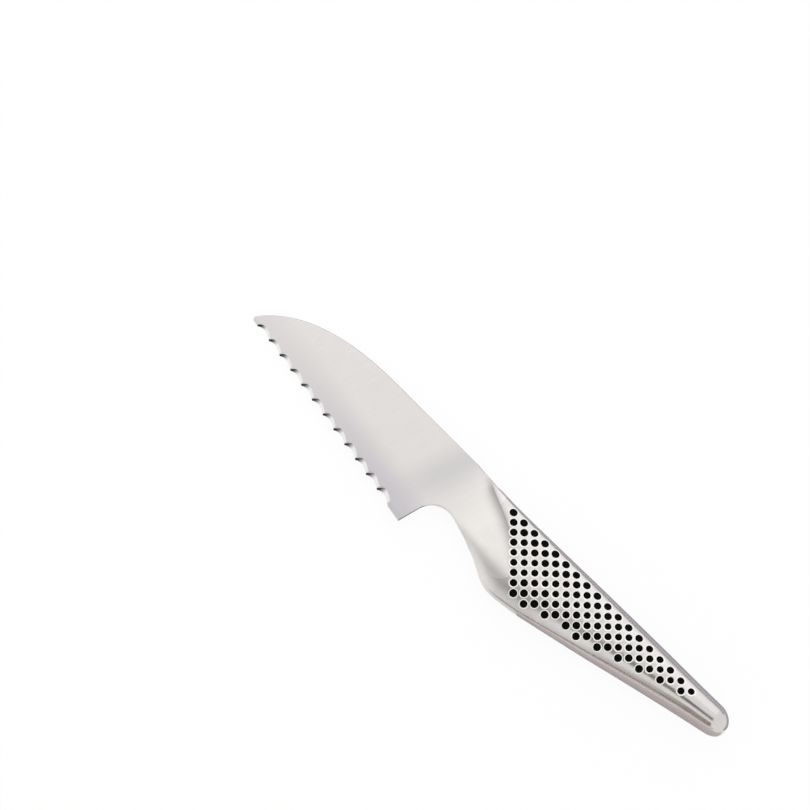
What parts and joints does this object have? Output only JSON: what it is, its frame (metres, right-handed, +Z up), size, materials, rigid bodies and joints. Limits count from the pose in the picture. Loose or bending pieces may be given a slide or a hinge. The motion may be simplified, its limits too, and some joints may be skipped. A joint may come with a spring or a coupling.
{
  "type": "tomato knife",
  "caption": "Small tomato knife with a serrated blade, a scooped steel neck and a hollow steel handle with enamelled dimples.",
  "frame": {"origin": "bottom centre of the bounding box: the knife lies on its right side at rest", "axes": "+X along the cutting edge, from the tip to the butt; +Y from the edge towards the spine; +Z up, out of the left face"},
  "size_m": [0.194, 0.05, 0.0126],
  "materials": {
    "blade_steel": "satin, fine grain across the blade",
    "neck_steel": "fine satin",
    "handle_steel": "satin",
    "black_enamel": "semi-gloss",
    "sand": "loose grains"
  },
  "bodies": {
    "root": {"blade": "blade_steel", "neck": "neck_steel", "neck_weld": "neck_steel", "handle_weld": "handle_steel", "handle_shell_left": "handle_steel", "handle_shell_right": "handle_steel", "spine_seam_weld": "handle_steel", "belly_seam_weld": "handle_steel", "sand_ballast": "sand", "dimple_enamel_left": "black_enamel", "dimple_enamel_right": "black_enamel"}
  },
  "joints": []
}
